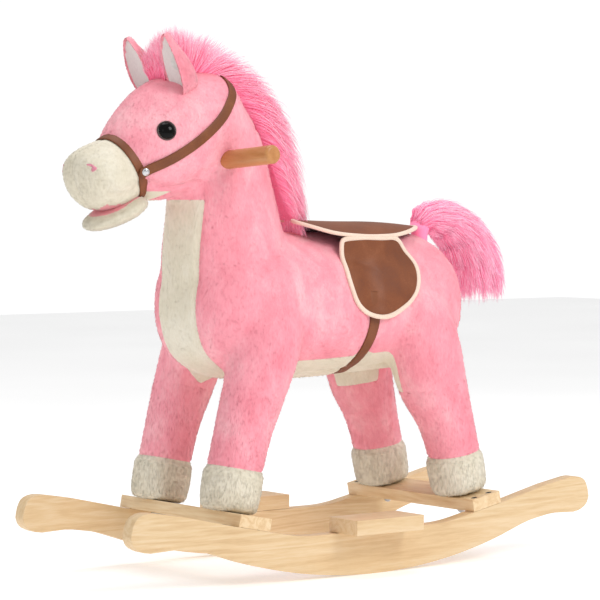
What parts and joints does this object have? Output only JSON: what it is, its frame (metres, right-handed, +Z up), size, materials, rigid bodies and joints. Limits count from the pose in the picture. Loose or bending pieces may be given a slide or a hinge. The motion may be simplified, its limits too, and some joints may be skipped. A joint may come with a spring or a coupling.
{
  "type": "rocking horse",
  "caption": "Plush rocking horse on wooden rockers, with a saddle, a dowel handle, footrests, an opening mouth, a wagging tail and a sound button in its ear.",
  "frame": {"origin": "on the floor under the middle of the rockers, at the bottom centre of the bounding box", "axes": "+X towards the head, +Y to the horse's left, +Z up"},
  "size_m": [0.7, 0.322, 0.653],
  "materials": {
    "pine": "light pine, sanded and clear lacquered, faint grain",
    "inner_wood": "raw softwood",
    "dowel": "varnished orange-brown dowel",
    "pink_plush": "short-pile pink plush with brushed nap",
    "cream_plush": "short-pile cream plush",
    "hair": "long-pile hot-pink plush with pale tips",
    "leather": "chestnut-brown leatherette, satin, with pale edge binding",
    "steel": "plated steel",
    "dark_steel": "blackened steel",
    "case_plastic": "moulded plastic",
    "eye": "glossy black safety eye"
  },
  "bodies": {
    "root": {"front_left_inner_screw": "dark_steel", "front_left_outer_screw": "dark_steel", "front_left_leg_bolt": "steel", "front_left_leg_post": "inner_wood", "front_right_inner_screw": "dark_steel", "front_right_outer_screw": "dark_steel", "front_right_leg_bolt": "steel", "front_right_leg_post": "inner_wood", "front_crossbar": "pine", "front_left_leg": "pink_plush", "front_left_hoof": "cream_plush", "front_right_leg": "pink_plush", "front_right_hoof": "cream_plush", "rear_left_outer_screw": "dark_steel", "rear_left_inner_screw": "dark_steel", "rear_left_leg_bolt": "steel", "rear_left_leg_post": "inner_wood", "rear_right_outer_screw": "dark_steel", "rear_right_inner_screw": "dark_steel", "rear_right_leg_bolt": "steel", "rear_right_leg_post": "inner_wood", "rear_crossbar": "pine", "rear_left_leg": "pink_plush", "rear_left_hoof": "cream_plush", "rear_right_leg": "pink_plush", "rear_right_hoof": "cream_plush", "left_rocker": "pine", "left_footrest": "pine", "right_rocker": "pine", "right_footrest": "pine", "body_board": "inner_wood", "neck_post": "inner_wood", "handle_bar": "dowel", "jaw_pin": "steel", "mouth_motor_box": "case_plastic", "tail_motor_box": "case_plastic", "tail_pin": "steel", "battery_box": "case_plastic", "chest_and_belly_panel": "cream_plush", "body": "pink_plush", "left_rivet": "steel", "left_eye": "eye", "right_rivet": "steel", "right_eye": "eye", "noseband": "leather", "head_strap": "leather", "head": "pink_plush", "muzzle": "cream_plush", "sound_button_case": "case_plastic", "left_ear": "pink_plush", "right_ear": "pink_plush", "mane": "hair", "saddle_seat": "leather", "left_saddle_flap": "leather", "right_saddle_flap": "leather", "girth_strap": "leather"},
    "jaw": {"jaw_frame": "case_plastic", "lower_jaw": "cream_plush"},
    "tail": {"tail": "hair"},
    "sound_button": {"sound_button_cap": "case_plastic"}
  },
  "joints": [
    {"name": "jaw_hinge", "type": "hinge", "parent": "root", "child": "jaw", "pos_m": [0.264, 0, 0.46], "axis": [0, -1, 0], "range_deg": [0, 9]},
    {"name": "tail_wag", "type": "hinge", "parent": "root", "child": "tail", "pos_m": [-0.172, 0, 0.4], "axis": [0, 0, 1], "range_deg": [-18, 18]},
    {"name": "sound_button_press", "type": "slide", "parent": "root", "child": "sound_button", "axis": [-0.9085, -0.0955, 0.4067], "range_m": [0, 0.0015], "stiffness_N_per_m": 400}
  ]
}
